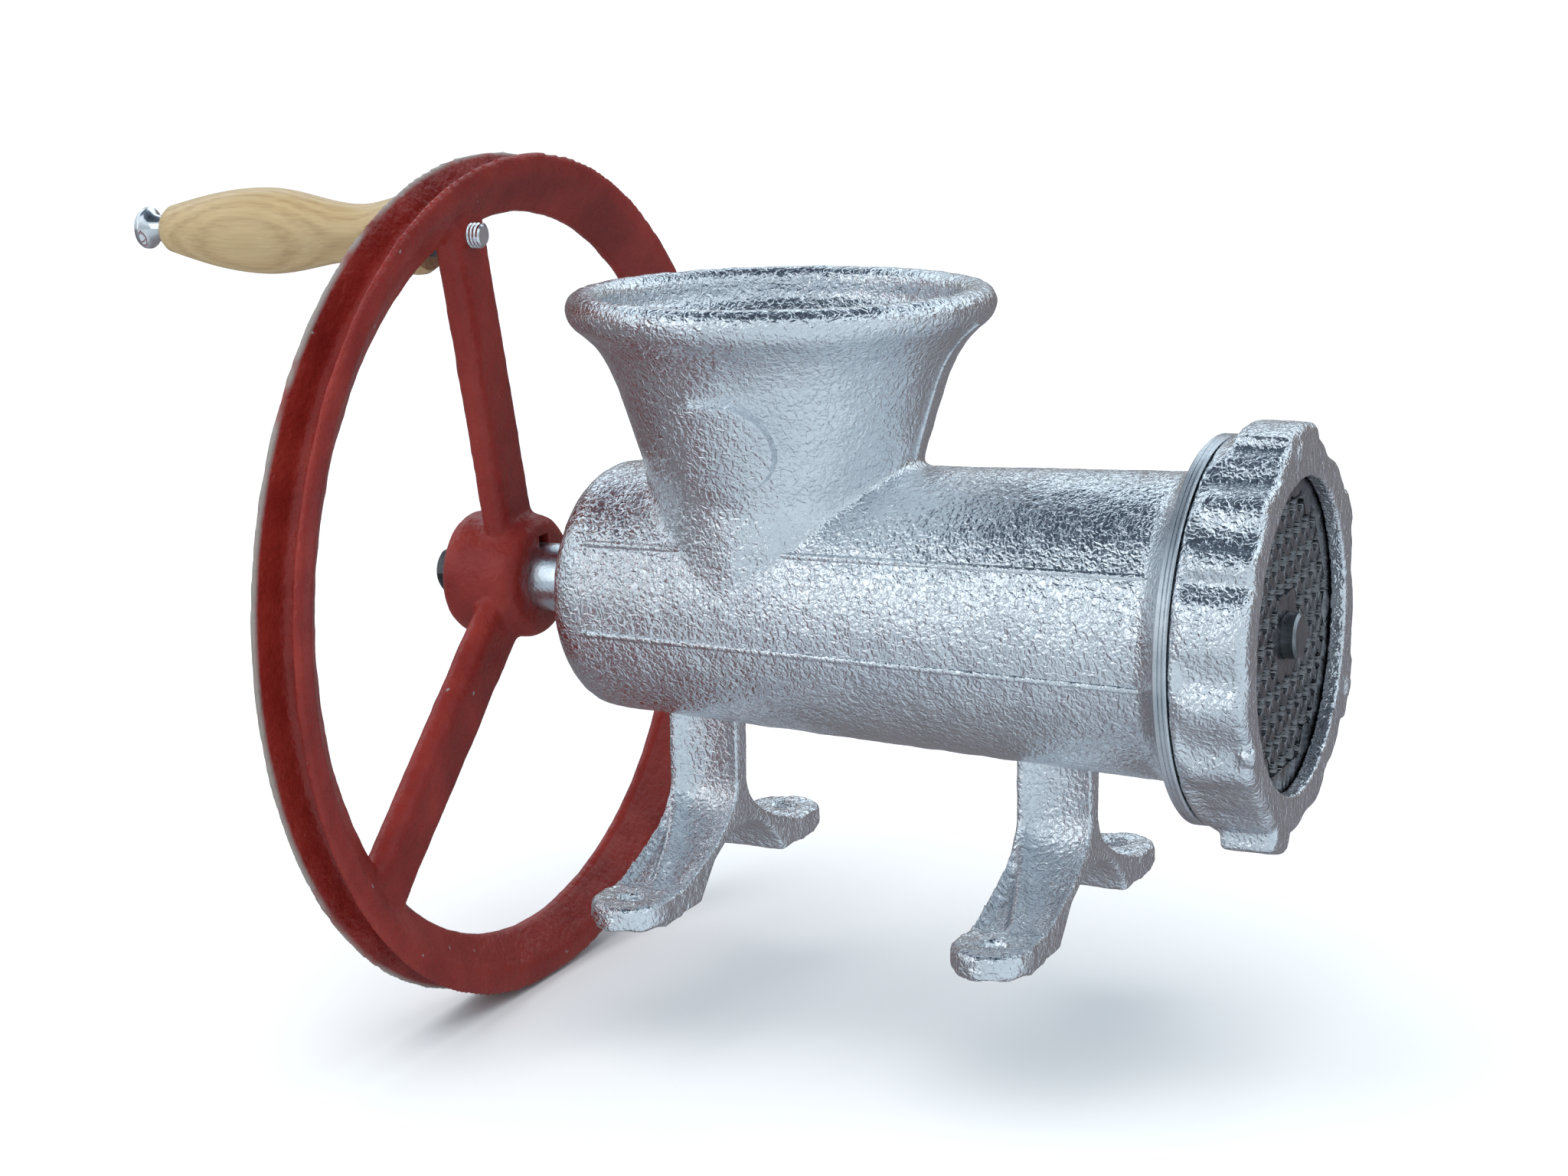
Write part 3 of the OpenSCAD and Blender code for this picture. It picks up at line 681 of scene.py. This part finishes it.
bronze = plain_metal("bronze", (0.42, 0.26, 0.12), (0.62, 0.42, 0.20), 0.35)
steel = plain_metal("tool_steel", (0.20, 0.21, 0.23), (0.36, 0.37, 0.40), 0.3)
give("rear_bushing", bronze)
give("plate_key_pin", steel)


# ---- Worm and shaft ----
# The worm is one iron casting with its tail shaft: a tapered core with a left-hand flight,
# tinned like the body, and a shaft turned to run in the bush.
smooth_tin = plain_metal("smooth_tin", (0.62, 0.69, 0.75), (0.80, 0.86, 0.91), 0.28, 900, 0.0001)
give("worm", smooth_tin)
stud_steel = plain_metal("stud_steel", (0.15, 0.16, 0.17), (0.30, 0.32, 0.34), 0.3)
give("worm_stud", stud_steel)


# ---- Thrust washer, knife and shaft key ----
# A fibre washer takes the push of the worm, the four-bladed knife is ground steel, and a
# square steel key drives the worm from the wheel's hub.
fibre, tree, shader, where = new_finish("fibre", 0.0)
fibre_colour = colours(tree, noise(tree, where, 700, 4), [(0.3, (0.16, 0.05, 0.03)),
                                                          (0.7, (0.26, 0.09, 0.05))])
tree.links.new(fibre_colour, shader.inputs["Base Color"])
tree.links.new(spread(tree, noise(tree, where, 300), 0.5, 0.7), shader.inputs["Roughness"])
add_bump(tree, shader, noise(tree, where, 900), 0.0001)
give("thrust_washer", fibre)
give("knife", steel)
give("shaft_key", steel)


# ---- Wheel ----
# A grooved belt wheel with three spokes and a long hub, cast in grey iron and painted with
# thick red-oxide primer. The paint is rubbed off along the rear edge of the rim.
wheel_low, wheel_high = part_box("wheel")
wheel_r = (wheel_high.z - wheel_low.z) / 2
rim_x = -0.127
rim_half = 0.0085
rim_deep = 0.0189
rim_in_r = wheel_r - rim_deep
rim_face_r = rim_in_r + 0.62 * rim_deep
groove_half = 0.0065
groove_floor_half = 0.003
groove_r = wheel_r - 0.010
rim_in_half = 0.0015
rim_profile = [(-rim_in_half, rim_in_r), (-rim_half, rim_face_r), (-rim_half, wheel_r),
               (-groove_half, wheel_r), (-groove_floor_half, groove_r), (groove_floor_half, groove_r),
               (groove_half, wheel_r), (rim_half, wheel_r), (rim_half, rim_face_r),
               (rim_in_half, rim_in_r), (-rim_in_half, rim_in_r)]
wheel = turn("belt_wheel", [(rim_x + x, r) for x, r in rim_profile], worm_axis, steps=180)
hub_r = 0.020
hub_rear = wheel_low.x
hub_front = rim_x + 0.0105
hub_edge = 0.005
hub_profile = [(hub_rear, 0)]
for i in range(7):
    angle = math.radians(15 * i)
    hub_profile.append((hub_rear + hub_edge * (1 - math.cos(angle)),
                        hub_r - hub_edge * (1 - math.sin(angle))))
for i in range(7):
    angle = math.radians(90 - 15 * i)
    hub_profile.append((hub_front - hub_edge * (1 - math.cos(angle)),
                        hub_r - hub_edge * (1 - math.sin(angle))))
hub = turn("hub", hub_profile + [(hub_front, 0)], worm_axis)
handle_y = middle("handle_bolt").y
handle_z = middle("handle_bolt").z
handle_angle = math.atan2(handle_z - axis_z, handle_y)
spoke_half_w = 0.0105
spoke_half_t = 0.00475
spoke_outline = []
for i in range(16):
    angle = math.radians(22.5 * i + 11.25)
    side = 1 if math.cos(angle) > 0 else -1
    spoke_outline.append((rim_x + spoke_half_t * math.sin(angle), 0.010,
                          axis_z + side * (spoke_half_w - spoke_half_t) + spoke_half_t * math.cos(angle)))
for i in range(3):
    spoke = block("spoke", spoke_outline, (0, rim_in_r - 0.007, 0))
    turn_about(spoke, handle_angle + math.tau * i / 3, worm_axis)
    join(wheel, spoke)
join(wheel, hub)
fuse(wheel, 0.00115, 4)
shaft_r = 0.011
washer_seat_r = 0.0128
cut(wheel, turn("hub_bore", [(hub_rear - 0.002, 0), (hub_rear - 0.002, washer_seat_r),
                             (hub_rear + 0.0005, washer_seat_r), (hub_rear + 0.0005, shaft_r),
                             (hub_front + 0.002, shaft_r), (hub_front + 0.002, 0)], worm_axis))
key_low, key_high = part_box("shaft_key")
keyway = [(key_low.x, key_low.y, axis_z), (key_low.x, key_high.y, axis_z),
          (key_low.x, key_high.y, key_high.z), (key_low.x, key_low.y, key_high.z)]
cut(wheel, block("keyway", keyway, (0.05, 0, 0)))
roughen(wheel, "wheel_lumps", 0.009, 0.0006)
pick(wheel)
bpy.ops.object.shade_smooth_by_angle(angle=math.radians(50))

paint, tree, shader, where = new_finish("red_paint", 0.0)
tint = noise(tree, where, 45, 4)
peel = noise(tree, where, 520, 2, 0.3)
red = colours(tree, tint, [
    (0.3, (0.165, 0.012, 0.009)), (0.5, (0.215, 0.018, 0.013)), (0.7, (0.265, 0.027, 0.019))])
chips = tree.nodes.new("ShaderNodeMath")
chips.operation = "GREATER_THAN"
chips.inputs[1].default_value = 0.735
tree.links.new(noise(tree, where, 170, 3), chips.inputs[0])
place = tree.nodes.new("ShaderNodeSeparateXYZ")
tree.links.new(where, place.inputs["Vector"])
# The distance from the wheel's axis, for the bare edge
across_axis = tree.nodes.new("ShaderNodeVectorMath")
across_axis.operation = "MULTIPLY_ADD"
across_axis.inputs[1].default_value = (0, 1, 1)
across_axis.inputs[2].default_value = (0, 0, -axis_z)
tree.links.new(where, across_axis.inputs[0])
from_axis = tree.nodes.new("ShaderNodeVectorMath")
from_axis.operation = "LENGTH"
tree.links.new(across_axis.outputs["Vector"], from_axis.inputs[0])
outer_edge = spread(tree, from_axis.outputs["Value"], 0.0, 1.0, wheel_r - 0.0016, wheel_r - 0.0004)
rear_half = spread(tree, place.outputs["X"], 1.0, 0.0, rim_x - 0.004, rim_x)
uneven = spread(tree, noise(tree, where, 35, 4), 0.0, 1.0, 0.38, 0.50)
rubbed = combine(tree, "MULTIPLY", outer_edge, rear_half)
broken = combine(tree, "MULTIPLY", rubbed, uneven)
bare = combine(tree, "MAXIMUM", chips.outputs["Value"], broken)
with_bare = mix_colours(tree, bare, red, (0.26, 0.23, 0.21))
tree.links.new(with_bare, shader.inputs["Base Color"])
tree.links.new(spread(tree, peel, 0.26, 0.42), shader.inputs["Roughness"])
add_bump(tree, shader, noise(tree, where, 160, 2), 0.0009, 0.6)
add_bump(tree, shader, peel, 0.0004, 1.0)
shader.inputs["Specular IOR Level"].default_value = 0.30
wheel.data.materials.append(paint)
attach(wheel, "rotor")
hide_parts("wheel")


# ---- Wheel screw ----
# A hexagon screw in the end of the shaft holds the wheel on, over a large plain washer and
# a split spring washer, all of plated steel.
def hexagon(name, low_x, high_x, across_flats, centre, chamfer):
    """A hexagon along X whose corners are turned off at both ends."""
    bpy.ops.object.select_all(action="DESELECT")
    corner_r = across_flats / math.sqrt(3)
    bpy.ops.mesh.primitive_cylinder_add(vertices=6, radius=corner_r, depth=high_x - low_x,
                                        location=((low_x + high_x) / 2, centre[1], centre[2]),
                                        rotation=(0, math.pi / 2, 0))
    piece = bpy.context.object
    bpy.ops.object.transform_apply()
    piece.name = name
    piece.data.name = name
    flat_r = across_flats / 2
    cone = turn("cone", [(low_x, 0), (low_x, flat_r * 0.96), (low_x + chamfer, corner_r + 0.0001),
                         (high_x - chamfer, corner_r + 0.0001), (high_x, flat_r * 0.96), (high_x, 0)],
                (0, centre[1], centre[2]), steps=60)
    cut(piece, cone, "INTERSECT")
    return piece


screw_low, screw_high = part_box("wheel_bolt")
head_h = 0.0055
across_flats = 0.013
corner_cut = 0.0011
screw = hexagon("wheel_screw", screw_low.x, screw_low.x + head_h, across_flats, worm_axis, corner_cut)
stem_r = 0.004
stem_x = screw_low.x + head_h - 0.001
screw_stem = turn("screw_stem", [(stem_x, 0), (stem_x, stem_r), (screw_high.x - 0.0008, stem_r),
                                 (screw_high.x, stem_r - 0.0008), (screw_high.x, 0)],
                  worm_axis, steps=48)
join(screw, screw_stem)
bpy.ops.object.shade_smooth_by_angle(angle=math.radians(30))
plated = plain_metal("zinc_steel", (0.30, 0.31, 0.33), (0.50, 0.52, 0.55), 0.32)
blackened = plain_metal("blackened_steel", (0.06, 0.06, 0.065), (0.16, 0.16, 0.17), 0.35)
screw.data.materials.append(blackened)
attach(screw, "rotor")
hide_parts("wheel_bolt")
give("end_washer", plated)
give("spring_washer", plated)


# ---- Handle bolt and lock nut ----
# The grip turns on a bright plated bolt with a round head. Its far end is screwed through
# the spoke, stands out a little in front, and is locked by a thin nut behind.
handle_axis = (0, handle_y, handle_z)
bolt_low, bolt_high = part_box("handle_bolt")
bolt_r = 0.004
disc_r = 0.0067
disc_t = 0.0032
bolt_profile = [(bolt_low.x, 0), (bolt_low.x, disc_r - 0.0026), (bolt_low.x + 0.0003, disc_r - 0.0014),
                (bolt_low.x + 0.0009, disc_r - 0.0004), (bolt_low.x + 0.0016, disc_r),
                (bolt_low.x + disc_t - 0.0005, disc_r), (bolt_low.x + disc_t, disc_r - 0.0005)]
for i in range(1, 8):
    share = i / 7
    bolt_profile.append((bolt_low.x + disc_t + 0.0065 * share,
                         bolt_r + (disc_r - 0.0014 - bolt_r) * (1 - share) ** 2.2))
thread_start = bolt_high.x - 0.0062
bolt_profile += [(thread_start, bolt_r), (thread_start + 0.0004, bolt_r - 0.0005),
                 (bolt_high.x - 0.0005, bolt_r - 0.0005), (bolt_high.x, bolt_r - 0.0010), (bolt_high.x, 0)]
bolt = turn("handle_pin", bolt_profile, handle_axis, steps=64)
ridge_foot_r = 0.0034
ridge_top_r = bolt_r - 0.00002
bolt_thread = helix("bolt_thread", [(thread_start, ridge_foot_r), (thread_start + 0.0005, ridge_top_r),
                                    (thread_start + 0.0007, ridge_top_r),
                                    (thread_start + 0.0012, ridge_foot_r)],
                    0.00125, 4, handle_axis, steps=40)
join(bolt, bolt_thread)
bpy.ops.object.shade_smooth_by_angle(angle=math.radians(40))
chrome, tree, shader, where = new_finish("chrome", 1.0)
chrome_colour = colours(tree, noise(tree, where, 200, 3), [(0.3, (0.74, 0.75, 0.77)),
                                                           (0.7, (0.86, 0.87, 0.89))])
tree.links.new(chrome_colour, shader.inputs["Base Color"])
tree.links.new(spread(tree, noise(tree, where, 300, 3), 0.05, 0.16), shader.inputs["Roughness"])
add_bump(tree, shader, noise(tree, where, 350, 2), 0.00004, 0.6)
bolt.data.materials.append(chrome)
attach(bolt, "rotor")
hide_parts("handle_bolt")
nut_low, nut_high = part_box("handle_lock_nut")
lock_nut = hexagon("lock_nut", nut_low.x, nut_high.x, across_flats, handle_axis, corner_cut)
cut(lock_nut, turn("lock_nut_bore", [(nut_low.x - 0.001, 0), (nut_low.x - 0.001, bolt_r + 0.0008),
                                     (nut_low.x + 0.0007, bolt_r), (nut_high.x - 0.0007, bolt_r),
                                     (nut_high.x + 0.001, bolt_r + 0.0008), (nut_high.x + 0.001, 0)],
                   handle_axis, steps=40))
pick(lock_nut)
bpy.ops.object.shade_smooth_by_angle(angle=math.radians(30))
lock_nut.data.materials.append(blackened)
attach(lock_nut, "rotor")
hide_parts("handle_lock_nut")


# ---- Handle grip ----
# A turned grip of pale hardwood with a full belly, a narrow neck and a flared inner end,
# bored through for the bolt and finished with thin varnish.
grip_low, grip_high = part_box("handle_grip")
grip_len = grip_high.x - grip_low.x
end_r = 0.007
belly_r = 0.0137
neck_r = 0.009
flare_end_r = 0.0127
belly_at = 0.395
neck_at = 0.745
flare_at = 0.965


def ease(share):
    """Rises from 0 to 1 with a smooth start and end."""
    return (1 - math.cos(math.pi * share)) / 2


def grip_r(share):
    """Radius of the grip at a share of its length from the outer end."""
    if share < belly_at:
        return end_r + (belly_r - end_r) * math.sin(math.pi / 2 * share / belly_at)
    if share < neck_at:
        return belly_r + (neck_r - belly_r) * ease((share - belly_at) / (neck_at - belly_at))
    if share < flare_at:
        return neck_r + (flare_end_r - neck_r) * ease((share - neck_at) / (flare_at - neck_at))
    return flare_end_r - 0.0016 * ((share - flare_at) / (1 - flare_at)) ** 2


hole_r = bolt_r + 0.0001
grip_profile = [(grip_low.x + 0.0006, hole_r), (grip_low.x, hole_r + 0.0006),
                (grip_low.x, end_r - 0.0022), (grip_low.x + 0.0004, end_r - 0.0008)]
for i in range(1, 49):
    share = i / 48
    grip_profile.append((grip_low.x + grip_len * share, grip_r(share)))
grip_profile += [(grip_high.x, hole_r), (grip_low.x + 0.0006, hole_r)]
grip = turn("wooden_grip", grip_profile, handle_axis, steps=96)
pick(grip)
bpy.ops.object.shade_smooth_by_angle(angle=math.radians(40))
wood, tree, shader, where = new_finish("wood", 0.0)
grain_map = tree.nodes.new("ShaderNodeMapping")
grain_map.inputs["Location"].default_value = (0, -handle_y - 0.020, -handle_z - 0.006)
grain_map.inputs["Scale"].default_value = (0.04, 1, 1)
tree.links.new(where, grain_map.inputs["Vector"])
along_grain = grain_map.outputs["Vector"]
rings = tree.nodes.new("ShaderNodeTexWave")
rings.wave_type = "RINGS"
rings.rings_direction = "X"
rings.inputs["Scale"].default_value = 120
rings.inputs["Distortion"].default_value = 1.2
rings.inputs["Detail"].default_value = 2
rings.inputs["Detail Scale"].default_value = 6
tree.links.new(along_grain, rings.inputs["Vector"])
fibres = noise(tree, along_grain, 1300, 4)
figure = tree.nodes.new("ShaderNodeMix")
figure.inputs["Factor"].default_value = 0.75
tree.links.new(rings.outputs["Fac"], figure.inputs[2])
tree.links.new(fibres, figure.inputs[3])
wood_colour = colours(tree, figure.outputs[0], [
    (0.2, (0.50, 0.37, 0.19)), (0.5, (0.44, 0.315, 0.155)), (0.8, (0.34, 0.225, 0.10))])
tree.links.new(wood_colour, shader.inputs["Base Color"])
tree.links.new(spread(tree, fibres, 0.36, 0.52), shader.inputs["Roughness"])
add_bump(tree, shader, fibres, 0.00008, 0.7)
shader.inputs["Coat Weight"].default_value = 0.25
shader.inputs["Coat Roughness"].default_value = 0.25
grip.data.materials.append(wood)
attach(grip, "grip")
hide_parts("handle_grip")


# ---- Perforated plate ----
# The cutting plate is a hardened steel disc, ground flat on its face, with straight drilled
# holes, and a notch for the key pin.
plate = copy_of(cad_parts["perforated_plate"], "cutting_plate")
plate.parent = None
for key in list(plate.keys()):
    del plate[key]
pick(plate)
bpy.ops.object.mode_set(mode="EDIT")
bpy.ops.mesh.select_all(action="SELECT")
bpy.ops.mesh.remove_doubles(threshold=0.000001)
bpy.ops.mesh.select_all(action="DESELECT")
bpy.ops.mesh.edges_select_sharp(sharpness=math.radians(60))
bpy.ops.mesh.bevel(offset=0.00018, segments=1, affect="EDGES")
bpy.ops.object.mode_set(mode="OBJECT")
bpy.ops.object.shade_smooth_by_angle(angle=math.radians(30))
plate_steel, tree, shader, where = new_finish("plate_steel", 1.0)
normal = tree.nodes.new("ShaderNodeNewGeometry")
facing = tree.nodes.new("ShaderNodeSeparateXYZ")
tree.links.new(normal.outputs["Normal"], facing.inputs["Vector"])
flatness = tree.nodes.new("ShaderNodeMath")
flatness.operation = "ABSOLUTE"
tree.links.new(facing.outputs["X"], flatness.inputs[0])
on_face = spread(tree, flatness.outputs[0], 0.0, 1.0, 0.3, 0.9)
face_colour = colours(tree, noise(tree, where, 120, 4), [(0.3, (0.15, 0.145, 0.155)),
                                                         (0.7, (0.27, 0.265, 0.28))])
wall_or_face = mix_colours(tree, on_face, (0.20, 0.20, 0.21), face_colour)
tree.links.new(wall_or_face, shader.inputs["Base Color"])
tree.links.new(spread(tree, noise(tree, where, 300, 3), 0.18, 0.34), shader.inputs["Roughness"])
add_bump(tree, shader, noise(tree, where, 500, 3), 0.00006, 0.5)
plate.data.materials.clear()
plate.data.materials.append(plate_steel)
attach(plate, "plate")
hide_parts("perforated_plate")


# ---- Ring nut ----
# The nut that holds the cutting set is cast and tinned like the body, with lugs and
# scallops to grip it by and a lip that bears on the plate. Its thread inside is not drawn; the bore is
# plain.
ring_low, ring_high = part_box("ring_nut")
nut_rear = ring_low.x
nut_front = ring_high.x
nut_r = 0.057
side_skin = 0.0030
lip_r = 0.046
lip_t = 0.005
skirt_r = head_bore_r + 0.0038
nut_profile = [
    (nut_rear, skirt_r), (nut_rear, nut_r - 0.0008), (nut_rear + 0.0008, nut_r),
    (nut_rear + 0.0016, nut_r), (nut_rear + 0.0040, nut_r), (nut_rear + 0.0052, nut_r),
    (nut_rear + 0.0062, nut_r), (nut_front - 0.0024, nut_r), (nut_front - 0.0009, nut_r - 0.0008),
    (nut_front, nut_r - 0.0026), (nut_front, lip_r), (nut_front - lip_t, lip_r),
    (nut_front - lip_t, skirt_r), (nut_rear, skirt_r)]
ring = turn("nut_casting", nut_profile, worm_axis, steps=360)
# Heights of the nut's outside above nut_r in mm, at angles from +Y towards +Z
nut_outline = [
    (0, 0.5), (10, -1.3), (20, 0.9), (23.5, 1.0), (25, 3.8), (35, 3.8), (36.5, 1.0), (50, 0.9), (61, -1.3),
    (72, 1.0), (75.5, 1.3), (77, 4.4), (104, 4.4), (105.5, 1.7), (112, 1.5), (119, -1.3), (130, 1.3),
    (139, -1.1), (143, -0.8), (146, 1.6), (150, 1.6), (154, -1.1), (162, 1.0), (171, 1.1), (182, -1.5),
    (190, 1.2), (203, -1.4), (212, 1.3), (221, -1.3), (233, -1.3), (242, 0.9), (244.5, 1.0),
    (246, 6.2), (258, 6.2), (259.5, 1.0), (266, 0.9), (278, -1.2), (290, 1.0), (301, -1.2), (312, 1.0),
    (322, 1.0), (323.5, 4.4), (341, 4.4), (342.5, 1.0), (360, 0.5)]
scallop_h = 1.3
mm = 0.001


def nut_height(angle):
    """Height of the nut's outline at an angle, with a smooth run between its points."""
    for (start, start_h), (end, end_h) in zip(nut_outline, nut_outline[1:]):
        if angle <= end:
            return start_h + (end_h - start_h) * ease((angle - start) / (end - start))
    return nut_outline[-1][1]


for point in ring.data.vertices:
    y = point.co.y
    z = point.co.z - axis_z
    radius = math.hypot(y, z)
    if radius > nut_r - side_skin:
        height = nut_height(math.degrees(math.atan2(z, y)) % 360)
        from_rear = point.co.x - nut_rear
        scallop = min(height, scallop_h) * ease(rise(from_rear, 0.0012, 0.0028))
        lug = max(0, height - scallop_h) * rise(from_rear, 0.0052, 0.0010)
        grow = 1 + (scallop + lug) * mm / radius
        point.co.y = y * grow
        point.co.z = axis_z + z * grow
boss_outline = [(0.0530, -0.0014), (0.0545, -0.0026), (0.0572, -0.0020), (0.0572, 0.0020),
                (0.0545, 0.0026), (0.0530, 0.0014)]
boss_out = 0.0010
boss_in = 0.003
for angle in (97, 205, 332):
    boss = block("boss", [(nut_front - boss_in, y, axis_z + z) for y, z in boss_outline],
                 (boss_in + boss_out, 0, 0))
    turn_about(boss, math.radians(angle), worm_axis)
    join(ring, boss)
fuse(ring, 0.0008, 3)
roughen(ring, "nut_lumps", 0.006, 0.0005)
past = 0.001
cut(ring, turn("nut_bore", [(nut_rear - past, 0), (nut_rear - past, skirt_r),
                            (nut_front - lip_t, skirt_r), (nut_front - lip_t, lip_r),
                            (nut_front + past, lip_r), (nut_front + past, 0)],
               worm_axis, steps=144))
pick(ring)
bpy.ops.object.shade_smooth_by_angle(angle=math.radians(45))
ring.data.materials.append(tinned)
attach(ring, "nut")
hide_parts("ring_nut")
